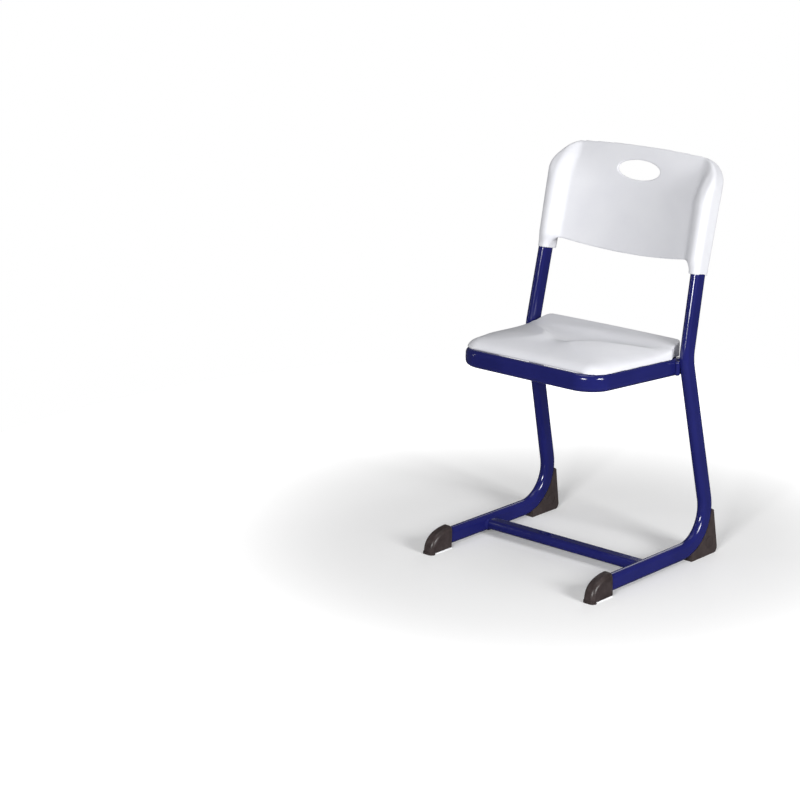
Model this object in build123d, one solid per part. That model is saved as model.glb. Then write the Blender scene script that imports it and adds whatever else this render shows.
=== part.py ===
from build123d import *
import math
import os

# Student chair: two bent flat-oval side frames joined by a U-shaped seat frame, a rear seat
# rail and a foot crossbar; moulded seat and backrest; plastic foot caps, glides and heels.
# Millimetres. +Z is up and the sitter faces -Y. Everything is first laid out from the heel
# line (y = 0 at the back of the heels) and moved at the end, so that the origin is on the
# floor under the middle of the chair.

# ---- driving dimensions -------------------------------------------------------------------
FOOT_SPACING = 400.0          # between the two side-frame centre planes, at the floor
TOE_IN = 1.5                  # degrees that each side frame leans inwards
TUBE_W = 20.0                 # flat-oval tube, across the bend
TUBE_H = 34.0                 # flat-oval tube, in the plane of the bend
TUBE_WALL = 1.5
FIT_GAP = 0.2                 # between pieces that touch
ORIGIN_Y = -201.7             # the origin, measured from the heel line

# side frame, centre line in its own plane
RUNNER_Z = 23.5               # runner centre above the floor
RUNNER_FRONT_Y = -378.0       # cut end, inside the foot cap
HEEL_CORNER_Y = -15.0         # where the runner and the leg would cross
HEEL_BEND_R = 77.0
KINK_Y = -101.2
KINK_Z = 409.3
KINK_BEND_R = 80.0
BACK_LEAN = 12.1              # degrees behind the vertical
UPRIGHT_TOP = 250.0           # cut end, measured up the upright from the kink

# seat frame
SEAT_FRONT_Y = -364.0         # outer face of the front rail
SEAT_FRONT_Z = 403.1          # tube centre at the front
SEAT_FALL = 2.67              # degrees, the seat falls towards the back
SEAT_HALF_FRONT = 168.0       # outer face of the side rails, at the front
SEAT_HALF_REAR = 178.7        # and at their rear ends
SEAT_FRAME_DEPTH = 283.0
SEAT_FRAME_CORNER_R = 46.0
REAR_RAIL_IN = 262.0          # rear seat rail, back from the front face
TAB_IN = (62.0, 216.0)        # seat tabs, back from the front face
TAB_SIZE = (26.0, 24.0, 3.0)
TAB_DROP = 12.0               # tab top below the top of the rail
TAB_SCREW_INSET = 16.0        # screw, in from the rail's inner face

# foot crossbar, lying flat
CROSSBAR_Y = -221.0
CROSSBAR_Z = 21.5

# weld beads
WELD = 3.5
SEAT_WELD_R = 5.0
SEAT_WELDS = ((179.5, -115.5), (176.5, -79.0))    # x and y of the beads beside each upright

# foot cap, glide pad and heel
CAP_W = 26.0
CAP_TOP = 47.0
CAP_REAR_Y = -346.5
CAP_TIP_Y = -406.0
CAP_EDGE_R = 9.0
CAP_LIP = 1.2                 # the rim round the nose stands out this far
PAD_T = 3.0
PAD_W = 24.0
PAD_FRONT_Y = -397.0
PAD_REAR_Y = -344.5
HEEL_W = 22.0
HEEL_REAR_Y = -3.0
HEEL_TIP = (-17.0, 89.0)      # top of the rear edge
HEEL_TIP_RISE = 4.0           # the tip slopes up to the tube by this much
HEEL_FRONT_Y = -90.0
HEEL_CORNER_R = 12.0
HEEL_WRAP = 10.5              # where the heel's sides end, outwards from the tube's centre line
RING_PLACE = (-31.0, 26.0)    # moulded ring on the heel's sides
RING_R = 12.0
PEG_R = 3.5                   # peg on the heel, in a hole in the bend

# seat shell, in the tilted plane of the rail tops: x across, v back from the front face
SEAT_EDGE_FRONT = 14.5
SEAT_EDGE_INSET = 2.0
SEAT_CORNER_R = 36.0
SEAT_REAR_HALF = 158.5
SEAT_NOTCH_V = 243.0
SEAT_T = 5.0
SEAT_RIM = 9.0
BOSS_R = 6.5

# backrest, in the plane of the uprights: x across, s up from the kink, n forward
BACK_BOTTOM_S = 161.5         # lower end of the sleeves
BACK_TOP_S = 389.0
BACK_CROWN = 10.0             # the top edge falls this much towards the sides
BACK_HALF_LOW = 197.0
BACK_HALF_TOP = 199.0
BACK_CORNER_R = 60.0
BACK_SHIFT = 6.0              # the sleeves' tops stand this far behind the uprights' line
SLEEVE_DEPTH = 41.0
SLEEVE_FRONT_R = 12.0
SLEEVE_REAR_R = 8.0
SLEEVE_INNER_LOW = 171.0
SLEEVE_INNER_TOP = 166.0
WING_R = 50.0                 # the sleeves' front edges curve back at the top
WING_S = 318.0                # from here
WING_TOP_N = -19.5            # to here
PANEL_FRONT_MID = -17.0       # n of the panel's front face at the middle
PANEL_FRONT_SIDE = 4.0        # and beside the sleeves, where it is deepest
PANEL_FLAT_S = (290.0, 370.0) # between these it flattens out
PANEL_T = 5.0
PANEL_BOTTOM_MID = 176.0
PANEL_BOTTOM_SIDE = 189.0
HANDLE_S = 340.0
HANDLE_W = 100.0
HANDLE_H = 39.0
RIVET_S = (185.0, 232.0)
RIVET_R = 2.4


# ---- planes and small helpers --------------------------------------------------------------
def side_plane(side):
    """Centre plane of a side frame: local x is chair y, local y runs up the leaning plane."""
    lean = side * math.radians(TOE_IN)
    up = Vector(-math.sin(lean), 0, math.cos(lean))
    foot = (side * FOOT_SPACING / 2, 0, 0)
    return Plane(origin=foot, x_dir=(0, 1, 0), z_dir=Vector(0, 1, 0).cross(up))


def seat_plane(height):
    """Plane of the seat frame, a height above its tube centres: local y runs back and down."""
    fall = math.radians(SEAT_FALL)
    normal = Vector(0, math.sin(fall), math.cos(fall))
    front = Vector(0, SEAT_FRONT_Y, SEAT_FRONT_Z)
    return Plane(origin=front + normal * height, x_dir=(1, 0, 0), z_dir=normal)


def back_plane():
    """Plane through the uprights' centre lines: local y runs up them, the normal points forward."""
    lean = math.radians(BACK_LEAN)
    return Plane(origin=(0, KINK_Y, KINK_Z), x_dir=(1, 0, 0), z_dir=(0, -math.cos(lean), math.sin(lean)))


def oval(length, width, turn=0):
    return SlotOverall(length, width, rotation=turn)


def tube_form(path, across, grow, turn):
    """Solid flat oval along a path in a plane; across is the plane's normal.

    The oval's long side lies along the normal, or in the plane if turned by 90 degrees.
    """
    section = oval(TUBE_H + 2 * grow, TUBE_W + 2 * grow, turn)
    form = Part()
    for edge in path.edges():
        start = Plane(origin=edge @ 0, x_dir=across, z_dir=edge % 0)
        if edge.geom_type == GeomType.LINE:
            form += extrude(start * section, edge.length)
        else:
            spoke = edge @ 0 - edge.arc_center
            axis = Axis(edge.arc_center, spoke.cross(edge % 0))
            form += revolve(start * section, axis, math.degrees(edge.length / edge.radius))
    return form


def hollow_tube(path, across, turn):
    """Flat-oval steel tube along a path."""
    return tube_form(path, across, 0, turn) - tube_form(path, across, -TUBE_WALL, turn)


# ---- side frames ---------------------------------------------------------------------------
def side_path(side):
    lean = math.radians(BACK_LEAN)
    top = (KINK_Y + UPRIGHT_TOP * math.sin(lean), KINK_Z + UPRIGHT_TOP * math.cos(lean))
    corners = [(RUNNER_FRONT_Y, RUNNER_Z), (HEEL_CORNER_Y, RUNNER_Z), (KINK_Y, KINK_Z), top]
    return side_plane(side) * FilletPolyline(*corners, radius=[HEEL_BEND_R, KINK_BEND_R])


def side_envelope(side, grow):
    """Solid outer form of a side frame, a little larger all round, for cutting its neighbours."""
    return tube_form(side_path(side), side_plane(side).z_dir, grow, 90)


def heel_bend_centre():
    """Centre of the heel bend, in the side plane."""
    angle = math.atan2(KINK_Z - RUNNER_Z, HEEL_CORNER_Y - KINK_Y)
    return HEEL_CORNER_Y - HEEL_BEND_R / math.tan(angle / 2), RUNNER_Z + HEEL_BEND_R


def heel_peg(side, radius, start, end):
    """Round bar down the diagonal of the heel bend, between two distances from its centre."""
    y, z = heel_bend_centre()
    half = math.sqrt(0.5)
    foot = (y + start * half, z - start * half, 0)
    axis = Plane(origin=foot, x_dir=(0, 0, 1), z_dir=(half, -half, 0))
    return side_plane(side) * (axis * extrude(Circle(radius), end - start))


def heel_bend_envelope(grow):
    """The bend's outer form as a full ring, in side-plane coordinates."""
    y, z = heel_bend_centre()
    cut = Plane(origin=(y + HEEL_BEND_R, z, 0), x_dir=(1, 0, 0), z_dir=(0, -1, 0))
    return revolve(cut * oval(TUBE_H + 2 * grow, TUBE_W + 2 * grow), Axis((y, z, 0), (0, 0, 1)), 360)


def rivet_faces(side):
    """Planes on the back of a sleeve, one at each rivet, facing forward into it."""
    faces = []
    for s in RIVET_S:
        x = FOOT_SPACING / 2 - (KINK_Z + s) * math.tan(math.radians(TOE_IN))
        shift = BACK_SHIFT * (s - BACK_BOTTOM_S) / (BACK_TOP_S - BACK_BOTTOM_S)
        faces.append(back_plane() * Pos(side * x, s, -SLEEVE_DEPTH / 2 - shift))
    return faces


def rivet_bore(face):
    return face * Pos(0, 0, 5) * Cylinder(RIVET_R + FIT_GAP, 12)


def side_frame(side):
    tube = hollow_tube(side_path(side), side_plane(side).z_dir, 90)
    tube -= heel_peg(side, PEG_R + FIT_GAP, HEEL_BEND_R + 10, HEEL_BEND_R + 20)
    for face in rivet_faces(side):
        tube -= rivet_bore(face)
    return tube


# ---- seat frame ----------------------------------------------------------------------------
def rail_centre(v):
    """Distance of a side rail's centre line from the middle, at a depth v behind the front face."""
    outer = SEAT_HALF_FRONT + (SEAT_HALF_REAR - SEAT_HALF_FRONT) * v / SEAT_FRAME_DEPTH
    return outer - TUBE_W / 2


def seat_frame_path():
    front = TUBE_W / 2
    rear = SEAT_FRAME_DEPTH
    corners = [
        (rail_centre(rear), rear),
        (rail_centre(front), front),
        (-rail_centre(front), front),
        (-rail_centre(rear), rear),
    ]
    return seat_plane(0) * FilletPolyline(*corners, radius=SEAT_FRAME_CORNER_R)


def seat_frame():
    return hollow_tube(seat_frame_path(), seat_plane(0).z_dir, 0)


def seat_frame_envelope(grow):
    return tube_form(seat_frame_path(), seat_plane(0).z_dir, grow, 0)


def rear_seat_rail():
    reach = rail_centre(REAR_RAIL_IN)
    rail = hollow_tube(Line((-reach, REAR_RAIL_IN), (reach, REAR_RAIL_IN)), (0, 0, 1), 0)
    return seat_plane(0) * rail - seat_frame_envelope(FIT_GAP / 2)


def tab_places():
    """Screw positions in the seat plane."""
    places = []
    for v in TAB_IN:
        for side in (-1, 1):
            places.append((side * (rail_centre(v) - TUBE_W / 2 - TAB_SCREW_INSET), v))
    return places


def seat_tabs():
    """Four steel tabs welded inside the side rails, each with a screw hole."""
    top = seat_plane(TUBE_H / 2 - TAB_DROP)
    tabs = []
    for x, v in tab_places():
        side = math.copysign(1, x)
        middle = x + side * (TAB_SCREW_INSET - TAB_SIZE[0] / 2)
        plate = Rectangle(TAB_SIZE[0], TAB_SIZE[1])
        plate = fillet(plate.vertices(), 4)
        blank = top * Pos(middle, v) * extrude(plate, -TAB_SIZE[2])
        hole = top * Pos(x, v) * Cylinder(2.8, 3 * TAB_SIZE[2])
        tabs.append(blank - hole - seat_frame_envelope(FIT_GAP / 2))
    return tabs


def seat_screws():
    """Pan-head screws, up through the tabs into the seat's bosses."""
    under = seat_plane(TUBE_H / 2 - TAB_DROP - TAB_SIZE[2] - FIT_GAP)
    screws = []
    for x, v in tab_places():
        at = under * Pos(x, v)
        head = at * Pos(0, 0, -1.6) * Cylinder(5, 3.2)
        head = fillet(head.edges().sort_by(Axis.Z)[0], 1.2)
        shank = at * Pos(0, 0, 6.5) * Cylinder(2.2, 13)
        recess = at * Pos(0, 0, -3.2) * (Box(5, 1.1, 2.4) + Box(1.1, 5, 2.4))
        screws.append(head + shank - recess)
    return screws


# ---- foot crossbar -------------------------------------------------------------------------
def crossbar_reach():
    """Half length up to the runners' inner faces, at the crossbar's height."""
    return FOOT_SPACING / 2 - TUBE_W / 2 - CROSSBAR_Z * math.tan(math.radians(TOE_IN))


def foot_crossbar():
    reach = crossbar_reach()
    path = Line((-reach, CROSSBAR_Y, CROSSBAR_Z), (reach, CROSSBAR_Y, CROSSBAR_Z))
    bar = hollow_tube(path, (0, 0, 1), 90)
    for side in (-1, 1):
        bar -= side_envelope(side, FIT_GAP / 2)
    return bar


# ---- weld beads ----------------------------------------------------------------------------
def weld_ring(x, y, side, turn):
    """Fillet of weld round the end of a flat-oval tube that runs along x and stops at x."""
    face = Plane(origin=(x, y, 0), x_dir=(0, 1, 0), z_dir=(-side, 0, 0))
    wide = oval(TUBE_H + 2 * WELD, TUBE_W + 2 * WELD, turn)
    narrow = oval(TUBE_H + 2 * FIT_GAP, TUBE_W + 2 * FIT_GAP, turn)
    return face * (extrude(wide, WELD, taper=40) - extrude(narrow, 2 * WELD))


def crossbar_welds():
    reach = crossbar_reach() - FIT_GAP
    beads = []
    for side in (1, -1):
        ring = Pos(0, 0, CROSSBAR_Z) * weld_ring(side * reach, CROSSBAR_Y, side, 0)
        beads.append(ring - side_envelope(side, FIT_GAP / 2))
    return beads


def rear_rail_welds():
    """Beads at the ends of the rear rail, dressed flush with its top and bottom."""
    reach = rail_centre(REAR_RAIL_IN) - TUBE_W / 2 + FIT_GAP
    flush = Box(2 * SEAT_HALF_REAR, 4 * REAR_RAIL_IN, TUBE_H - 2 * FIT_GAP)
    beads = []
    for side in (1, -1):
        ring = weld_ring(side * reach, REAR_RAIL_IN, side, 90) & flush
        beads.append(seat_plane(0) * ring - seat_frame_envelope(FIT_GAP / 2))
    return beads


def seat_tab_welds():
    """A bead under each tab, in the corner between it and the side rail."""
    under = seat_plane(TUBE_H / 2 - TAB_DROP - TAB_SIZE[2])
    rail = seat_frame_envelope(FIT_GAP / 2)
    beads = []
    for x, v in tab_places():
        side = math.copysign(1, x)
        wall = side * (rail_centre(v) - TUBE_W / 2)
        corner = under * Pos(wall - side * 1.5, v, -FIT_GAP) * Rot(90, 0, 0)
        bead = corner * Cylinder(2.5, TAB_SIZE[1] - 6)
        keep = under * Pos(wall, v, -FIT_GAP - 5) * Box(20, 40, 10)
        beads.append((bead & keep) - rail)
    return beads


def seat_frame_welds():
    """Upright beads in the crevices between the side rails and the uprights, front and back."""
    rail = seat_frame_envelope(FIT_GAP / 2)
    beads = []
    for side in (1, -1):
        upright = side_envelope(side, FIT_GAP / 2)
        for x, y in SEAT_WELDS:
            bead = Pos(side * x, y, SEAT_FRONT_Z - 12) * Cylinder(SEAT_WELD_R, TUBE_H - 6)
            bead = fillet(bead.edges(), 3)
            beads.append(bead - upright - rail)
    return beads


# ---- foot caps, glide pads and heels -------------------------------------------------------
def foot_cap(side):
    """Domed plastic cap over the runner's cut end; the nose has a rim that reaches the floor."""
    corners = [(CAP_REAR_Y, CAP_TOP), (CAP_REAR_Y, -1), (CAP_TIP_Y, -1), (CAP_TIP_Y, 2 * PAD_T)]
    outline = Polyline(*corners)
    crown = Bezier(
        (CAP_TIP_Y, 2 * PAD_T),
        (CAP_TIP_Y + 1, 0.66 * CAP_TOP),
        (CAP_TIP_Y + 21, CAP_TOP - 2),
        (CAP_REAR_Y, CAP_TOP),
    )
    profile = side_plane(side) * make_face(outline + crown)
    body = extrude(profile, CAP_W / 2, both=True)
    body = fillet(body.edges().filter_by(GeomType.BEZIER), CAP_EDGE_R)
    body = split(body, Plane.XY.offset(PAD_T), keep=Keep.TOP)
    length = CAP_REAR_Y - CAP_TIP_Y + CAP_LIP
    rim = extrude(RectangleRounded(CAP_W + 2 * CAP_LIP, length, CAP_EDGE_R), PAD_T + 1)
    rim = Pos(side * FOOT_SPACING / 2, CAP_REAR_Y - length / 2, 0) * rim
    rim = split(rim, Plane.XZ.offset(FIT_GAP - PAD_FRONT_Y), keep=Keep.TOP)
    return body + rim - side_envelope(side, FIT_GAP)


def glide_pad(side):
    """Pale pad under the foot cap; it stands on the floor."""
    length = PAD_REAR_Y - PAD_FRONT_Y
    middle = (PAD_REAR_Y + PAD_FRONT_Y) / 2
    return Pos(side * FOOT_SPACING / 2, middle, 0) * extrude(RectangleRounded(PAD_W, length, 2), PAD_T)


def heel(side):
    """Wedge in the outer corner of the heel bend, saddled round the tube and pegged to it."""
    y, z = heel_bend_centre()
    wrap = HEEL_BEND_R + HEEL_WRAP
    tip_y, tip_z = HEEL_TIP
    top = tip_z + HEEL_TIP_RISE
    front = (HEEL_FRONT_Y, z - math.sqrt(wrap**2 - (HEEL_FRONT_Y - y) ** 2))
    upper = (y + math.sqrt(wrap**2 - (top - z) ** 2), top)
    half = wrap * math.sqrt(0.5)
    contact = ThreePointArc(front, (y + half, z - half), upper)
    rest = Polyline(upper, (tip_y, tip_z), (HEEL_REAR_Y, -1), (HEEL_FRONT_Y, -1), front)
    face = make_face(contact + rest)
    corner = face.vertices().sort_by_distance(Vector(HEEL_REAR_Y, -1, 0))[0]
    face = fillet(corner, HEEL_CORNER_R)
    block = extrude(face, HEEL_W / 2, both=True) - heel_bend_envelope(FIT_GAP)
    groove = Circle(RING_R) - Circle(RING_R - 1.2)
    for depth in (HEEL_W / 2 - 0.6, -HEEL_W / 2 - 0.2):
        block -= Pos(*RING_PLACE, depth) * extrude(groove, 0.8)
    block = side_plane(side) * block + heel_peg(side, PEG_R, HEEL_BEND_R + 12, HEEL_BEND_R + 24)
    return split(block, Plane.XY, keep=Keep.TOP)


# ---- seat shell ----------------------------------------------------------------------------
def seat_outline(inset):
    """Half-outlines mirrored: rounded front, sides over the rails, a notch at each upright."""
    front = SEAT_EDGE_FRONT + inset
    side_front = SEAT_HALF_FRONT - SEAT_EDGE_INSET - inset
    side_rear = SEAT_HALF_REAR - SEAT_EDGE_INSET - 3 - inset
    neck = SEAT_REAR_HALF + 5 - inset
    rear_half = SEAT_REAR_HALF - inset
    rear = SEAT_FRAME_DEPTH - inset
    notch = SEAT_NOTCH_V - inset
    right = [(side_front, front), (side_rear, notch), (neck, notch), (rear_half, rear)]
    left = [(-x, v) for x, v in reversed(right)]
    radii = [SEAT_CORNER_R - inset, 6, 5, 10]
    return make_face(FilletPolyline(*right, *left, radius=radii + radii[::-1], close=True))


def seat_height(x, v):
    """Height of the seat's top face over the rail tops."""
    along = v / SEAT_FRAME_DEPTH
    across = x / SEAT_REAR_HALF
    level = 19.5 - 2.0 * abs(across) ** 3 * (1 - along)
    dish = 7.5 * math.exp(-(((along - 0.62) / 0.24) ** 2) - (x / 100.0) ** 2)
    waterfall = 18.0 * math.exp(-(v - SEAT_EDGE_FRONT) / 16.0)
    rear_rise = 13.0 * max(0.0, (along - 0.53) / 0.47) ** 3
    crest = 5.0 * (1 - across**2) * max(0.0, along - 0.7) / 0.3
    return level - dish - waterfall + rear_rise + crest


def seat_skin(drop):
    """Solid that fills the space below the seat's top face, lowered by a drop."""
    steps = 15
    rows = []
    for i in range(steps):
        v = 2 + i * 298 / (steps - 1)
        row = []
        for j in range(steps):
            x = -200 + j * 400 / (steps - 1)
            row.append(Vector(x, v, seat_height(x, v) - drop))
        rows.append(row)
    return extrude(Face.make_surface_from_array_of_points(rows), 70, dir=(0, 0, -1))


def seat_shell():
    """Moulded shell: a skin with a rim that rests on the rails, and four screw bosses."""
    blank = extrude(seat_outline(0), 60) & seat_skin(0)
    pocket = extrude(seat_outline(SEAT_RIM), 60) & seat_skin(SEAT_T)
    shell = Pos(0, 0, FIT_GAP) * (blank - pocket)
    low = FIT_GAP - TAB_DROP
    for x, v in tab_places():
        shell += Pos(x, v, low) * extrude(Circle(BOSS_R), seat_height(x, v) - 2 - low)
        shell -= Pos(x, v, low) * extrude(Circle(2.3), 13)
    return seat_plane(TUBE_H / 2) * shell


# ---- backrest shell ------------------------------------------------------------------------
def back_outline(depth):
    """Outer edge of the backrest as a block, centred on the plane of the uprights."""
    right = (BACK_HALF_TOP, BACK_TOP_S - BACK_CROWN)
    left = (-BACK_HALF_TOP, BACK_TOP_S - BACK_CROWN)
    sides = Polyline(right, (BACK_HALF_LOW, BACK_BOTTOM_S), (-BACK_HALF_LOW, BACK_BOTTOM_S), left)
    face = make_face(ThreePointArc(left, (0, BACK_TOP_S), right) + sides)
    face = fillet(face.vertices().group_by(Axis.Y)[-1], BACK_CORNER_R)
    return extrude(face, depth, both=True)


def wing_profile():
    """Side view of the backrest: its front edge curves back at the top."""
    centre_n = SLEEVE_DEPTH / 2 - 3 - WING_R
    reach = math.sqrt(WING_R**2 - (WING_TOP_N - centre_n) ** 2)
    start = (WING_S, centre_n + WING_R)
    middle = (WING_S + WING_R * math.sqrt(0.5), centre_n + WING_R * math.sqrt(0.5))
    end = (WING_S + reach, WING_TOP_N)
    front = ThreePointArc(start, middle, end)
    around = [(420, WING_TOP_N), (420, -60), (100, -60), (100, SLEEVE_DEPTH / 2 + 1)]
    rest = Polyline(end, *around, start)
    return extrude(Plane.YZ * make_face(front + rest), 300, both=True)


def panel_front(x, s):
    """n of the panel's front face: hollow across, flattening out towards the top."""
    low, high = PANEL_FLAT_S
    t = min(1.0, max(0.0, (s - low) / (high - low)))
    fade = 1 - t * t * (3 - 2 * t)
    hollow = (PANEL_FRONT_SIDE - PANEL_FRONT_MID) * fade * (x / SLEEVE_INNER_LOW) ** 2
    return PANEL_FRONT_MID + hollow - 2 * (1 - fade)


def panel_slab():
    """Curved slab between the sleeves; its lower edge is an arc."""
    steps = 15
    half = SLEEVE_INNER_LOW + 10
    rows = []
    for i in range(steps):
        s = 150 + i * 250 / (steps - 1)
        row = []
        for j in range(steps):
            x = -half + j * 2 * half / (steps - 1)
            row.append(Vector(x, s, panel_front(x, s)))
        rows.append(row)
    slab = extrude(Face.make_surface_from_array_of_points(rows), PANEL_T, dir=(0, 0, -1))
    edge = SLEEVE_INNER_LOW + 6
    lower = ThreePointArc((-edge, PANEL_BOTTOM_SIDE), (0, PANEL_BOTTOM_MID), (edge, PANEL_BOTTOM_SIDE))
    corners = [(edge, PANEL_BOTTOM_SIDE), (edge, 420), (-edge, 420), (-edge, PANEL_BOTTOM_SIDE)]
    return slab & extrude(make_face(lower + Polyline(*corners)), 60, both=True)


def sleeve_section(side, s, inner, outer, shift):
    plane = Plane(origin=(side * (inner + outer) / 2, s, -shift), x_dir=(-1, 0, 0), z_dir=(0, 1, 0))
    face = Rectangle(outer - inner, SLEEVE_DEPTH).face()
    face = fillet(face.vertices().group_by(Axis.Y)[-1], SLEEVE_FRONT_R)
    face = fillet(face.vertices().group_by(Axis.Y)[0], SLEEVE_REAR_R)
    return plane * face


def sleeve(side):
    """Moulded sleeve round one upright, wider towards the top."""
    low = sleeve_section(side, BACK_BOTTOM_S, SLEEVE_INNER_LOW, BACK_HALF_LOW, 0)
    high = sleeve_section(side, BACK_TOP_S, SLEEVE_INNER_TOP, BACK_HALF_TOP, BACK_SHIFT)
    return loft([low, high])


def backrest_shell():
    body = panel_slab() + sleeve(1) + sleeve(-1)
    body = body & back_outline(60) & wing_profile()
    body -= Pos(0, HANDLE_S, 0) * extrude(Ellipse(HANDLE_W / 2, HANDLE_H / 2), 60, both=True)
    body = back_plane() * body
    for side in (1, -1):
        body -= side_envelope(side, FIT_GAP)
        for face in rivet_faces(side):
            body -= rivet_bore(face)
    return body


def backrest_rivets():
    """Two blind rivets behind each sleeve, through the moulding into the upright."""
    rivets = []
    for side in (1, -1):
        for face in rivet_faces(side):
            head = face * Pos(0, 0, -1.1) * Cylinder(4.5, 1.8)
            shank = face * Pos(0, 0, 2.6) * Cylinder(RIVET_R, 6.0)
            rivets.append(head + shank)
    return rivets


# ---- assembly ------------------------------------------------------------------------------
def assembly():
    parts = {}
    for name, make in (
        ("side_frame", side_frame),
        ("foot_cap", foot_cap),
        ("glide_pad", glide_pad),
        ("heel", heel),
    ):
        for word, side in (("right", 1), ("left", -1)):
            parts[f"{name}_{word}"] = [make(side)]
    parts["seat_frame"] = [seat_frame()]
    parts["rear_seat_rail"] = [rear_seat_rail()]
    parts["foot_crossbar"] = [foot_crossbar()]
    parts["seat_tabs"] = seat_tabs()
    parts["seat_screws"] = seat_screws()
    parts["crossbar_welds"] = crossbar_welds()
    parts["rear_rail_welds"] = rear_rail_welds()
    parts["seat_tab_welds"] = seat_tab_welds()
    parts["seat_frame_welds"] = seat_frame_welds()
    parts["seat_shell"] = [seat_shell()]
    parts["backrest_shell"] = [backrest_shell()]
    parts["backrest_rivets"] = backrest_rivets()
    return parts


os.makedirs("parts", exist_ok=True)
for node, pieces in assembly().items():
    placed = [Pos(0, -ORIGIN_Y, 0) * piece for piece in pieces]
    shape = placed[0] if len(placed) == 1 else Compound(children=placed)
    export_step(shape, f"parts/{node}.step")
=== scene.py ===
import bpy
import math
import numpy as np
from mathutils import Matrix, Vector


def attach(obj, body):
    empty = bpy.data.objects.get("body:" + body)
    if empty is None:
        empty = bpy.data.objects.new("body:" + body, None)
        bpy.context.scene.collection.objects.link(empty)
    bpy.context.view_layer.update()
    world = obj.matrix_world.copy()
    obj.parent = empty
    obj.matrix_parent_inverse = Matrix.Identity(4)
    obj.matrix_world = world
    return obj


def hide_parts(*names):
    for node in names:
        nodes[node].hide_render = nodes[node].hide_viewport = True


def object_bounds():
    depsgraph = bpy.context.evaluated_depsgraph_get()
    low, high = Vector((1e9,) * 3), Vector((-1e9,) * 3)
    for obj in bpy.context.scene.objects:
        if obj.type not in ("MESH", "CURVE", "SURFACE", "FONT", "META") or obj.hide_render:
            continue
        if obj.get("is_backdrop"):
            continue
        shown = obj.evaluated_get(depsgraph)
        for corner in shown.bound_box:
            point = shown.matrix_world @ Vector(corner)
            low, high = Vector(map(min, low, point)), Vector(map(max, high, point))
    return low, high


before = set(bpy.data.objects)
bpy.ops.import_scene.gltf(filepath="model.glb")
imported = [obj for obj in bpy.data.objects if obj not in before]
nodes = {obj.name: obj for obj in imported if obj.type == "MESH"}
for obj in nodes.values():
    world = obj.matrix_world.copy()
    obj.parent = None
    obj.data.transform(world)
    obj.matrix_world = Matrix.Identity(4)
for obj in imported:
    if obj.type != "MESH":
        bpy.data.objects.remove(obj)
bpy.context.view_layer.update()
scene = bpy.context.scene


# ---- node helpers --------------------------------------------------------------------------
def new_material(name, colour, roughness, specular=0.5, coat=0.0, coat_roughness=0.1, metallic=0.0):
    """A material with its node tree and its Principled shader."""
    mat = bpy.data.materials.new(name)
    mat.use_nodes = True
    bsdf = mat.node_tree.nodes["Principled BSDF"]
    bsdf.inputs["Base Color"].default_value = (*colour, 1)
    bsdf.inputs["Roughness"].default_value = roughness
    bsdf.inputs["Specular IOR Level"].default_value = specular
    bsdf.inputs["Coat Weight"].default_value = coat
    bsdf.inputs["Coat Roughness"].default_value = coat_roughness
    bsdf.inputs["Metallic"].default_value = metallic
    return mat, mat.node_tree, bsdf


def noise(tree, scale, detail=2.0, rough=0.5, stretch=(1, 1, 1)):
    """Noise in the object's own space."""
    coords = tree.nodes.new("ShaderNodeTexCoord")
    mapping = tree.nodes.new("ShaderNodeMapping")
    mapping.inputs["Scale"].default_value = stretch
    tex = tree.nodes.new("ShaderNodeTexNoise")
    tex.inputs["Scale"].default_value = scale
    tex.inputs["Detail"].default_value = detail
    tex.inputs["Roughness"].default_value = rough
    tree.links.new(coords.outputs["Object"], mapping.inputs["Vector"])
    tree.links.new(mapping.outputs["Vector"], tex.inputs["Vector"])
    return tex


def ramp(tree, source, low, high, first, second):
    """Two colours, blended between two values of the source."""
    node = tree.nodes.new("ShaderNodeValToRGB")
    node.color_ramp.elements[0].position = low
    node.color_ramp.elements[1].position = high
    node.color_ramp.elements[0].color = (*first, 1)
    node.color_ramp.elements[1].color = (*second, 1)
    tree.links.new(source, node.inputs["Fac"])
    return node


def spread(tree, source, low, high):
    """Maps 0 to 1 onto a range."""
    node = tree.nodes.new("ShaderNodeMapRange")
    node.inputs["To Min"].default_value = low
    node.inputs["To Max"].default_value = high
    tree.links.new(source, node.inputs["Value"])
    return node


def bump(tree, bsdf, source, distance, strength=1.0, previous=None):
    node = tree.nodes.new("ShaderNodeBump")
    node.inputs["Distance"].default_value = distance
    node.inputs["Strength"].default_value = strength
    tree.links.new(source, node.inputs["Height"])
    if previous is not None:
        tree.links.new(previous.outputs["Normal"], node.inputs["Normal"])
    tree.links.new(node.outputs["Normal"], bsdf.inputs["Normal"])
    return node


# ---- materials -----------------------------------------------------------------------------
# Colours are linear red, green and blue; grain scales are per metre and bump heights in metres.
def make_paint():
    """Glossy dark blue powder coat: faint orange peel, slight colour and gloss variation."""
    mat, tree, bsdf = new_material("blue_paint", (0.01, 0.012, 0.11), 0.12, 0.4, 0.3, 0.03)
    cloud = noise(tree, 9, 3)
    tone = ramp(tree, cloud.outputs["Fac"], 0.3, 0.7, (0.009, 0.011, 0.098), (0.013, 0.015, 0.126))
    tree.links.new(tone.outputs["Color"], bsdf.inputs["Base Color"])
    patch = noise(tree, 60, 3)
    gloss = spread(tree, patch.outputs["Fac"], 0.08, 0.2)
    tree.links.new(gloss.outputs["Result"], bsdf.inputs["Roughness"])
    peel = noise(tree, 420, 2)
    bump(tree, bsdf, peel.outputs["Fac"], 0.0001, 0.35)
    return mat


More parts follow.
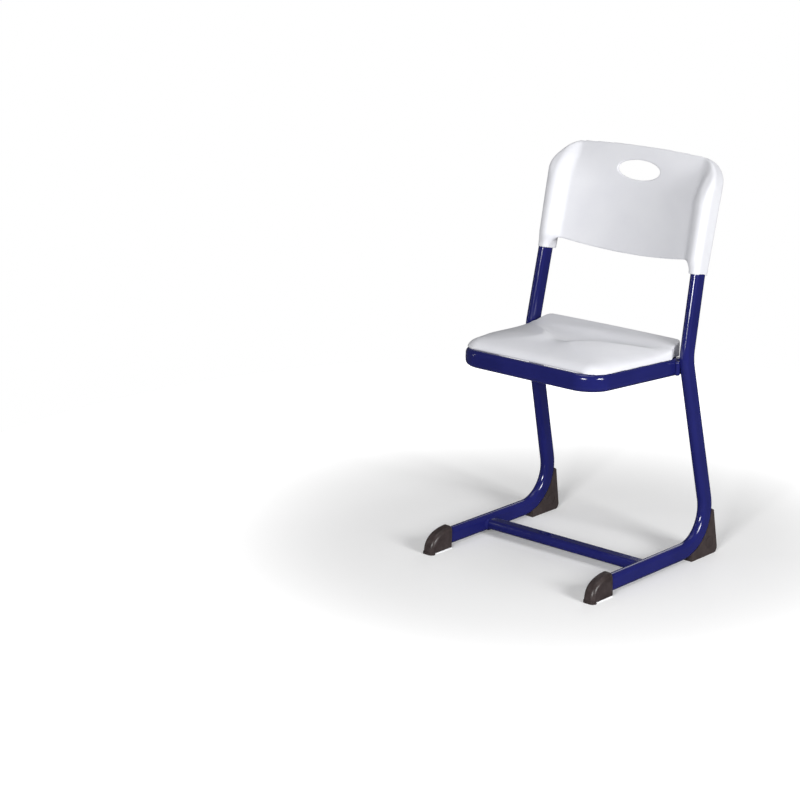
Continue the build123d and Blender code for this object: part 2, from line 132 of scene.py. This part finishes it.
def make_shell():
    """Pale grey moulded plastic with a fine grained skin."""
    mat, tree, bsdf = new_material("grey_plastic", (0.74, 0.745, 0.785), 0.45, 0.4)
    cloud = noise(tree, 14, 3)
    tone = ramp(tree, cloud.outputs["Fac"], 0.3, 0.7, (0.725, 0.73, 0.77), (0.76, 0.765, 0.80))
    tree.links.new(tone.outputs["Color"], bsdf.inputs["Base Color"])
    grain = noise(tree, 900, 2, 0.6)
    first = bump(tree, bsdf, grain.outputs["Fac"], 0.00012, 0.5)
    wide = noise(tree, 250, 2)
    bump(tree, bsdf, wide.outputs["Fac"], 0.0001, 0.25, first)
    return mat


def make_plastic(name, dark, light, rough_low, rough_high):
    """Dark brown-black moulded plastic with a leathery skin."""
    mat, tree, bsdf = new_material(name, dark, rough_low, 0.35)
    cloud = noise(tree, 45, 4, 0.6)
    tone = ramp(tree, cloud.outputs["Fac"], 0.3, 0.75, dark, light)
    tree.links.new(tone.outputs["Color"], bsdf.inputs["Base Color"])
    patch = noise(tree, 160, 3)
    gloss = spread(tree, patch.outputs["Fac"], rough_low, rough_high)
    tree.links.new(gloss.outputs["Result"], bsdf.inputs["Roughness"])
    grain = noise(tree, 700, 3, 0.6)
    bump(tree, bsdf, grain.outputs["Fac"], 0.0002, 0.5)
    return mat


def make_pad():
    """Near-white plastic of the glide strips."""
    mat, tree, bsdf = new_material("pad_plastic", (0.8, 0.8, 0.8), 0.5, 0.4)
    cloud = noise(tree, 90, 3)
    tone = ramp(tree, cloud.outputs["Fac"], 0.3, 0.7, (0.76, 0.77, 0.8), (0.86, 0.86, 0.86))
    tree.links.new(tone.outputs["Color"], bsdf.inputs["Base Color"])
    grain = noise(tree, 800, 2)
    bump(tree, bsdf, grain.outputs["Fac"], 0.0001, 0.4)
    return mat


def make_metal(name, dark, light, rough):
    """Bare metal with fine scratches."""
    mat, tree, bsdf = new_material(name, light, rough, 0.5, metallic=1.0)
    cloud = noise(tree, 300, 3)
    tone = ramp(tree, cloud.outputs["Fac"], 0.3, 0.7, dark, light)
    tree.links.new(tone.outputs["Color"], bsdf.inputs["Base Color"])
    scratch = noise(tree, 900, 2, 0.5, (1, 1, 0.1))
    gloss = spread(tree, scratch.outputs["Fac"], rough, rough + 0.2)
    tree.links.new(gloss.outputs["Result"], bsdf.inputs["Roughness"])
    bump(tree, bsdf, scratch.outputs["Fac"], 0.00005, 0.4)
    return mat


paint = make_paint()
shell = make_shell()
cap_plastic = make_plastic("cap_plastic", (0.024, 0.017, 0.0165), (0.06, 0.046, 0.045), 0.24, 0.4)
heel_plastic = make_plastic("heel_plastic", (0.034, 0.025, 0.024), (0.058, 0.044, 0.042), 0.36, 0.5)
pad = make_pad()
steel = make_metal("screw_steel", (0.5, 0.5, 0.5), (0.7, 0.7, 0.7), 0.25)
rivet = make_metal("rivet_metal", (0.6, 0.6, 0.6), (0.8, 0.8, 0.8), 0.3)

finishes = {
    "side_frame_right": paint, "side_frame_left": paint, "seat_frame": paint,
    "rear_seat_rail": paint, "foot_crossbar": paint, "seat_tabs": paint,
    "crossbar_welds": paint, "rear_rail_welds": paint, "seat_tab_welds": paint,
    "seat_frame_welds": paint, "foot_cap_right": cap_plastic, "foot_cap_left": cap_plastic,
    "heel_right": heel_plastic, "heel_left": heel_plastic, "glide_pad_right": pad,
    "glide_pad_left": pad, "seat_screws": steel, "backrest_rivets": rivet,
    "seat_shell": shell, "backrest_shell": shell,
}
for name, mat in finishes.items():
    mesh = nodes[name].data
    mesh.materials.clear()
    mesh.materials.append(mat)


# ---- implicit forms ------------------------------------------------------------------------
# Moulded pieces are given as signed fields, in millimetres and negative inside, and meshed as
# quads. Each point is then moved onto the exact surface.
def round_max(a, b, radius):
    """Intersection whose edge is rounded to a radius."""
    corner = np.hypot(np.maximum(a + radius, 0), np.maximum(b + radius, 0))
    return np.minimum(-radius, np.maximum(a, b)) + corner


def round_min(a, b, radius):
    """Union whose inner corner is filled to a radius."""
    return -round_max(-a, -b, radius)


def step(low, high, value):
    """Smooth rise from 0 at low to 1 at high."""
    t = np.clip((value - low) / (high - low), 0, 1)
    return t * t * (3 - 2 * t)


def net(field, low, high, cell):
    """Points and quads of the field's zero surface inside a box."""
    axes = [np.arange(a, b + cell, cell) for a, b in zip(low, high)]
    value = field(*np.meshgrid(*axes, indexing="ij"))
    inside = value < 0
    total = np.zeros([n - 1 for n in value.shape] + [3])
    count = np.zeros([n - 1 for n in value.shape])
    span = [slice(0, -1), slice(1, None)]
    for axis in range(3):
        others = [k for k in range(3) if k != axis]
        for i in (0, 1):
            for j in (0, 1):
                start, end = [None] * 3, [None] * 3
                start[axis], end[axis] = span
                for k, pick in zip(others, (i, j)):
                    start[k] = end[k] = span[pick]
                a, b = value[tuple(start)], value[tuple(end)]
                cross = (a < 0) != (b < 0)
                share = np.where(cross, a / np.where(cross, a - b, 1), 0)
                total[..., axis] += share
                total[..., others[0]] += i * cross
                total[..., others[1]] += j * cross
                count += cross
    used = count > 0
    number = np.full(count.shape, -1)
    number[used] = np.arange(used.sum())
    cells = np.argwhere(used)
    points = (cells + total[used] / count[used][:, None]) * cell + np.array([a[0] for a in axes])
    quads = []
    for axis in range(3):
        u, w = (axis + 1) % 3, (axis + 2) % 3
        ends = [slice(None)] * 3
        starts = [slice(None)] * 3
        starts[axis], ends[axis] = span
        change = np.argwhere(inside[tuple(starts)] != inside[tuple(ends)])
        keep = (change[:, u] > 0) & (change[:, w] > 0)
        at = change[keep]
        limit = np.array(count.shape)
        at = at[(at[:, u] < limit[u]) & (at[:, w] < limit[w])]
        around = []
        for du, dw in ((-1, -1), (0, -1), (0, 0), (-1, 0)):
            spot = at.copy()
            spot[:, u] += du
            spot[:, w] += dw
            around.append(number[tuple(spot.T)])
        faces = np.stack(around, 1)
        flip = ~inside[tuple(at.T)]
        faces[flip] = faces[flip][:, ::-1]
        quads.append(faces)
    points = settle(field, points, cell)
    return points, np.concatenate(quads)


def gradient(field, points, reach=0.05):
    """Slope of the field at each point, by central differences."""
    slope = np.zeros_like(points)
    for axis in range(3):
        shift = np.zeros(3)
        shift[axis] = reach
        slope[:, axis] = (field(*(points + shift).T) - field(*(points - shift).T)) / (2 * reach)
    return slope


def settle(field, points, cell):
    """Moves points along the field's slope onto its zero surface."""
    for _ in range(4):
        slope = gradient(field, points)
        size = np.maximum((slope**2).sum(1), 0.05)
        move = slope * (field(*points.T) / size)[:, None]
        points = points - np.clip(move, -cell / 2, cell / 2)
    return points


def moulded(name, field, low, high, cell, place, mat):
    """A smooth-shaded mesh piece from a field, set in the chair by place()."""
    points, quads = net(field, low, high, cell)
    mesh = bpy.data.meshes.new(name)
    mesh.from_pydata((np.stack(place(*points.T), 1) / 1000).tolist(), [], quads.tolist())
    mesh.polygons.foreach_set("use_smooth", [True] * len(mesh.polygons))
    mesh.materials.append(mat)
    piece = bpy.data.objects.new(name, mesh)
    scene.collection.objects.link(piece)
    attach(piece, "root")
    return piece


def curve(value, stops):
    """Smooth line through a few (place, height) stops."""
    x = np.array([s[0] for s in stops], float)
    y = np.array([s[1] for s in stops], float)
    slope = np.gradient(y, x)
    i = np.clip(np.searchsorted(x, value) - 1, 0, len(x) - 2)
    width = x[i + 1] - x[i]
    t = np.clip((value - x[i]) / width, 0, 1)
    near = (1 + 2 * t) * (1 - t) ** 2 * y[i] + t * (1 - t) ** 2 * width * slope[i]
    far = t**2 * (3 - 2 * t) * y[i + 1] - t**2 * (1 - t) * width * slope[i + 1]
    return near + far


# ---- seat ----------------------------------------------------------------------------------
# Laid out in millimetres across (x), back from the front rail (v) and up from its crown (h).
HEEL_LINE = 201.7               # y of the back of the heels
SEAT_FALL = math.radians(2.67)  # the seat drops towards the rear
FRONT_RAIL = (-364, 403.1)      # the front rail's front and middle height, from the heel line
HALF_TUBE = 17                  # from a tube's middle to its crown
LIP = 10.8                      # front edge, over the crown of the front rail
NOTCH = 243                     # where the sides step in to pass between the uprights
REAR = 283
LIP_HALF, NOTCH_HALF, BETWEEN_HALF = 166, 173.7, 168    # half widths along the sides
FRONT_CORNER, REAR_CORNER = 38, 12
RIM_HEIGHT, REAR_RISE, RISE_START = 17.5, 14, 150       # the rim's top, and its rise to the rear
LOBE_SLOPE, LOBE_EDGE, LOBE_REACH = 0.17, 165, 110      # thigh lobes, rising from the sides
CREST_BLEND = 5
RAIL_GAP = 0.1
SKIN, RIM_WALL = 5, 9           # thickness of the top and of the rim
BOSSES = ((62, 124.3), (216, 130.2))                    # v and half spacing
BOSS_RADIUS, BOSS_BORE, BOSS_FOOT, BORE_DEPTH = 6.5, 2.3, -11.8, 13
# Height along the middle, and how far from the middle the dish ends, at places from the front.
CENTRE_LINE = ((0, 17), (37, 20.5), (65, 25.5), (95, 28.5), (122, 24.5), (150, 17), (185, 13.5),
               (215, 17), (245, 27), (265, 35), (283, 42), (300, 47))
CREST_LINE = ((0, 95), (37, 73), (65, 48), (95, 32), (121, 44), (144, 61), (167, 90), (190, 118),
              (215, 150), (245, 180), (300, 190))


def seat_place(x, v, h):
    """From the seat's own frame to the chair's."""
    up = h + HALF_TUBE
    y = FRONT_RAIL[0] + v * math.cos(SEAT_FALL) + up * math.sin(SEAT_FALL)
    z = FRONT_RAIL[1] - v * math.sin(SEAT_FALL) + up * math.cos(SEAT_FALL)
    return x, y + HEEL_LINE, z


def seat_edge(x, v):
    """Plan outline: rounded front, sides over the rails, a notch at each upright."""
    side = np.abs(x) - (LIP_HALF + (NOTCH_HALF - LIP_HALF) * v / NOTCH)
    body = round_max(side, LIP - v, FRONT_CORNER)
    between = np.abs(x) - (BETWEEN_HALF - (v - NOTCH) / 8)
    notched = round_min(v - NOTCH, between, 5)
    notched = round_max(notched, v - REAR, REAR_CORNER)
    return round_max(body, notched, 7)


def lobe_height(edge, slope, across):
    """Top of a thigh lobe: rises from the side and levels off towards the middle."""
    return edge + slope * LOBE_REACH * np.tanh((LOBE_EDGE - across) / LOBE_REACH)


def seat_top(x, v):
    """Height of the top: a dish that opens to the rear between two thigh lobes."""
    across = np.abs(x)
    edge = RIM_HEIGHT + REAR_RISE * np.clip((v - RISE_START) / (REAR - RISE_START), 0, 1) ** 2.4
    slope = LOBE_SLOPE * (1 - step(190, 270, v)) * step(0, 110, v) + 0.01
    middle = curve(v, CENTRE_LINE)
    crest = curve(v, CREST_LINE)
    lobe = lobe_height(edge, slope, across)
    ridge = lobe_height(edge, slope, crest)
    hollow = middle + (ridge - middle) * (across / crest) ** 2
    nearness = np.clip(1 - np.abs(hollow - lobe) / CREST_BLEND, 0, 1)
    return np.minimum(hollow, lobe) - CREST_BLEND / 4 * nearness**2


def rim_fall(x, v):
    """How far the top has rolled down near the outline: long at the front, shorter at the sides."""
    inside = np.maximum(-seat_edge(x, v), 0)
    front = 1 - step(30, 110, v)
    back = 1 - step(215, 262, v)
    return (3 + 10 * front) * back * np.exp(-inside / 12) + 5 * back * np.exp(-inside / 5)


def seat_field(x, v, h):
    """The seat: a skin with a rim, hollow below, and four screw bosses."""
    edge = seat_edge(x, v)
    top = (h - seat_top(x, v) + rim_fall(x, v)) * 0.9
    outer = round_max(edge, top, 3)
    outer = round_max(outer, RAIL_GAP - h, 0.6)
    pocket = round_max(edge + RIM_WALL, top + SKIN, 4)
    shell = round_max(outer, -pocket, 1)
    for boss_v, boss_x in BOSSES:
        away = np.hypot(np.abs(x) - boss_x, v - boss_v)
        boss = np.maximum(round_max(away - BOSS_RADIUS, BOSS_FOOT - h, 0.8), top + 2)
        shell = round_min(shell, boss, 2)
        bore = np.maximum(away - BOSS_BORE, h - BOSS_FOOT - BORE_DEPTH)
        shell = np.maximum(shell, -bore)
    return shell


# ---- backrest ------------------------------------------------------------------------------
# Laid out in the uprights' plane: across (x), up from the uprights' kink (s) and forward (n).
LEAN = math.radians(12.1)
KINK = (-101.2, 409.3)          # y from the heel line, and height
BOTTOM, TOP = 161.5, 389
OUTER_HALF, OUTER_GAIN = 197, 2         # sleeves' outer faces, and how they spread towards the top
INNER_HALF, INNER_GAIN = 171, -5
FRONT_FACE, FRONT_GAIN = 20.5, -3.5
REAR_FACE, REAR_GAIN = -20.5, -6
WING_START, WING_FACE = 312, 18.8       # above this the sleeves' fronts fall back
WING_DROP, WING_RUN = 78, 39
PANEL_BACK, PANEL_CURVE, PANEL_HALF = -17, 29, 178      # the panel's front, hollow in the middle
HALF_PANEL = 2.5
LOW_EDGE, LOW_RISE = 176, 13            # the panel's lower edge, higher at the sides
SLEEVE_BLEND = 24
CROWN_FALL, CORNER, EDGE = 10, 60, 6
HANDLE_UP, HANDLE_HALVES = 340, (50, 19.5)


def back_place(x, s, n):
    """From the backrest's own frame to the chair's."""
    y = KINK[0] + s * math.sin(LEAN) - n * math.cos(LEAN)
    z = KINK[1] + s * math.cos(LEAN) + n * math.sin(LEAN)
    return x, y + HEEL_LINE, z


def panel_front(x, s):
    """Front of the panel: curves forward to the sleeves, and flattens under the top edge."""
    fade = 1 - step(290, 372, s)
    return PANEL_BACK + PANEL_CURVE * fade * np.abs(x / PANEL_HALF) ** 2.1 - 2 * step(350, TOP, s)


def wing_face(s, n):
    """Front limit of the sleeves towards the top: rolls back to the panel in one curve."""
    beyond = np.maximum(s - WING_START, 0)
    fall = (n - WING_FACE + beyond**2 / WING_DROP) / np.sqrt(1 + (beyond / WING_RUN) ** 2)
    return round_min(fall, n + 16.5, 16)


def sleeve_field(across, up, n, wing):
    """The solid sleeve round an upright, as a rounded bar."""
    outer = across - (OUTER_HALF + OUTER_GAIN * up)
    inner = INNER_HALF + INNER_GAIN * up - across
    front = np.maximum(n - FRONT_FACE - FRONT_GAIN * up, wing)
    rear = REAR_FACE + REAR_GAIN * up - n
    before = np.maximum(round_max(outer, front, 12), round_max(inner, front, 11))
    behind = np.maximum(round_max(outer, rear, 8), round_max(inner, rear, 8))
    return np.maximum(before, behind), outer


def back_field(x, s, n):
    """The backrest: a curved panel between two sleeves, with an oval handle opening."""
    across = np.abs(x)
    up = (s - BOTTOM) / (TOP - BOTTOM)
    wing = wing_face(s, n)
    sleeve, outer = sleeve_field(across, up, n, wing)
    slab = np.abs(n - panel_front(x, s) + HALF_PANEL) * 0.96 - HALF_PANEL
    slab = round_max(slab, LOW_EDGE + LOW_RISE * (across / 177) ** 2 - s, 2)
    slab = round_max(slab, across - PANEL_HALF - 30 * step(300, 385, s), 1)
    body = round_min(sleeve, np.maximum(slab, wing), SLEEVE_BLEND)
    crown = s - TOP + CROWN_FALL * (across / (OUTER_HALF + OUTER_GAIN)) ** 2
    body = round_max(body, round_max(outer, crown, CORNER), EDGE)
    body = round_max(body, BOTTOM - s, 1)
    wide, tall = HANDLE_HALVES
    ratio = np.hypot(x / wide, (s - HANDLE_UP) / tall)
    growth = np.maximum(np.hypot(x / wide**2, (s - HANDLE_UP) / tall**2), 1e-6)
    hole = ratio * (ratio - 1) / growth
    return round_max(body, -hole, 2.4)


CELL = 1.8
FORMS = (
    # name, field, box of the field's own frame, place, node it replaces
    ("seat_moulding", seat_field, (-182, 8, -16), (182, 290, 44), seat_place, "seat_shell"),
    ("backrest_moulding", back_field, (-204, 156, -32), (204, 394, 26), back_place, "backrest_shell"),
)
for name, field, low, high, place, node in FORMS:
    piece = moulded(name, field, low, high, CELL, place, shell)
    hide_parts(node)


# ---- floor, light and camera ---------------------------------------------------------------
FLOOR_RADIUS, FLOOR_SIDES = 1.5, 96
GLOW_START, GLOW_END = 0.35, 1.2      # the floor brightens between these distances, in metres
GLOW_LOW, GLOW_HIGH = 0.1, 1.0
LIGHTS = (
    # name, place, height it points at, size, power
    ("right", (3.3, -0.3, 1.5), 0.45, (1.1, 1.1), 92),
    ("front", (1.3, -3.3, 1.5), 0.4, (0.9, 0.9), 88),
    ("top", (-0.2, 0.2, 3.2), 0.4, (1.8, 1.8), 16),
    ("rear", (-1.2, 3.2, 1.7), 0.5, (1.6, 1.6), 14),
    ("left_strip", (-2.4, -1.9, 1.1), 0.4, (0.05, 2.2), 4),
)
CAMERA_PLACE = (2.6585, -3.4217, 1.5496)
CAMERA_TILT, CAMERA_TURN = 74.016, 42.325
CAMERA_LENS, CAMERA_SENSOR = 104.2, 36
WORLD_FILL, BACKDROP = 0.08, 1.0


def make_floor():
    """A pale sheet; away from the chair it brightens into the white backdrop. Glossy rays see it dark
    grey, which paints a dark reflection into the glossy parts.
    """
    mesh = bpy.data.meshes.new("floor")
    turns = [i * math.tau / FLOOR_SIDES for i in range(FLOOR_SIDES)]
    rim = [(FLOOR_RADIUS * math.cos(a), FLOOR_RADIUS * math.sin(a), 0) for a in turns]
    mesh.from_pydata(rim, [], [range(FLOOR_SIDES)])
    floor = bpy.data.objects.new("floor", mesh)
    scene.collection.objects.link(floor)
    mat, tree, bsdf = new_material("pale_floor", (0.9, 0.9, 0.9), 0.8, 0.1)
    coords = tree.nodes.new("ShaderNodeTexCoord")
    length = tree.nodes.new("ShaderNodeVectorMath")
    length.operation = "LENGTH"
    glow = tree.nodes.new("ShaderNodeMapRange")
    glow.interpolation_type = "SMOOTHSTEP"
    glow.inputs["From Min"].default_value = GLOW_START
    glow.inputs["From Max"].default_value = GLOW_END
    glow.inputs["To Min"].default_value = GLOW_LOW
    glow.inputs["To Max"].default_value = GLOW_HIGH
    tree.links.new(coords.outputs["Object"], length.inputs[0])
    tree.links.new(length.outputs["Value"], glow.inputs["Value"])
    path = tree.nodes.new("ShaderNodeLightPath")
    seen = tree.nodes.new("ShaderNodeMath")
    seen.operation = "MULTIPLY"
    tree.links.new(glow.outputs["Result"], seen.inputs[0])
    tree.links.new(path.outputs["Is Camera Ray"], seen.inputs[1])
    tree.links.new(seen.outputs["Value"], bsdf.inputs["Emission Strength"])
    bsdf.inputs["Emission Color"].default_value = (1, 1, 1, 1)
    # For glossy rays the floor turns dark grey, while the camera and diffuse light still see it pale:
    # a painted dark reflection in the paint and the other glossy parts.
    painted_dark_reflection = ramp(tree, path.outputs["Is Glossy Ray"], 0, 1, (0.9, 0.9, 0.9), (0.12, 0.12, 0.14))
    tree.links.new(painted_dark_reflection.outputs["Color"], bsdf.inputs["Base Color"])
    mesh.materials.append(mat)
    floor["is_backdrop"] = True


def make_light(name, place, aim, size, power):
    data = bpy.data.lights.new(name, "AREA")
    data.shape = "RECTANGLE"
    data.size, data.size_y = size
    data.energy = power
    lamp = bpy.data.objects.new(name, data)
    scene.collection.objects.link(lamp)
    lamp.location = place
    lamp.rotation_euler = (Vector((0, 0, aim)) - Vector(place)).to_track_quat("-Z", "Y").to_euler()


def make_world():
    """A dim even fill for the light, and plain white for what the camera sees."""
    world = bpy.data.worlds.new("studio")
    scene.world = world
    world.use_nodes = True
    tree = world.node_tree
    fill = tree.nodes["Background"]
    fill.inputs["Color"].default_value = (1, 1, 1, 1)
    fill.inputs["Strength"].default_value = WORLD_FILL
    backdrop = tree.nodes.new("ShaderNodeBackground")
    backdrop.inputs["Strength"].default_value = BACKDROP
    backdrop.inputs["Color"].default_value = (1, 1, 1, 1)
    path = tree.nodes.new("ShaderNodeLightPath")
    mix = tree.nodes.new("ShaderNodeMixShader")
    tree.links.new(path.outputs["Is Camera Ray"], mix.inputs["Fac"])
    tree.links.new(fill.outputs["Background"], mix.inputs[1])
    tree.links.new(backdrop.outputs["Background"], mix.inputs[2])
    tree.links.new(mix.outputs["Shader"], tree.nodes["World Output"].inputs["Surface"])


def make_camera():
    data = bpy.data.cameras.new("camera")
    camera = bpy.data.objects.new("camera", data)
    scene.collection.objects.link(camera)
    camera.location = CAMERA_PLACE
    camera.rotation_euler = (math.radians(CAMERA_TILT), 0, math.radians(CAMERA_TURN))
    data.lens = CAMERA_LENS
    data.sensor_width = CAMERA_SENSOR
    data.clip_end = 100
    scene.camera = camera


make_floor()
for name, place, aim, size, power in LIGHTS:
    make_light(name, place, aim, size, power)
make_world()
make_camera()
scene.view_settings.view_transform = "Standard"

# ---- sizes, and the end --------------------------------------------------------------------
low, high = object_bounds()
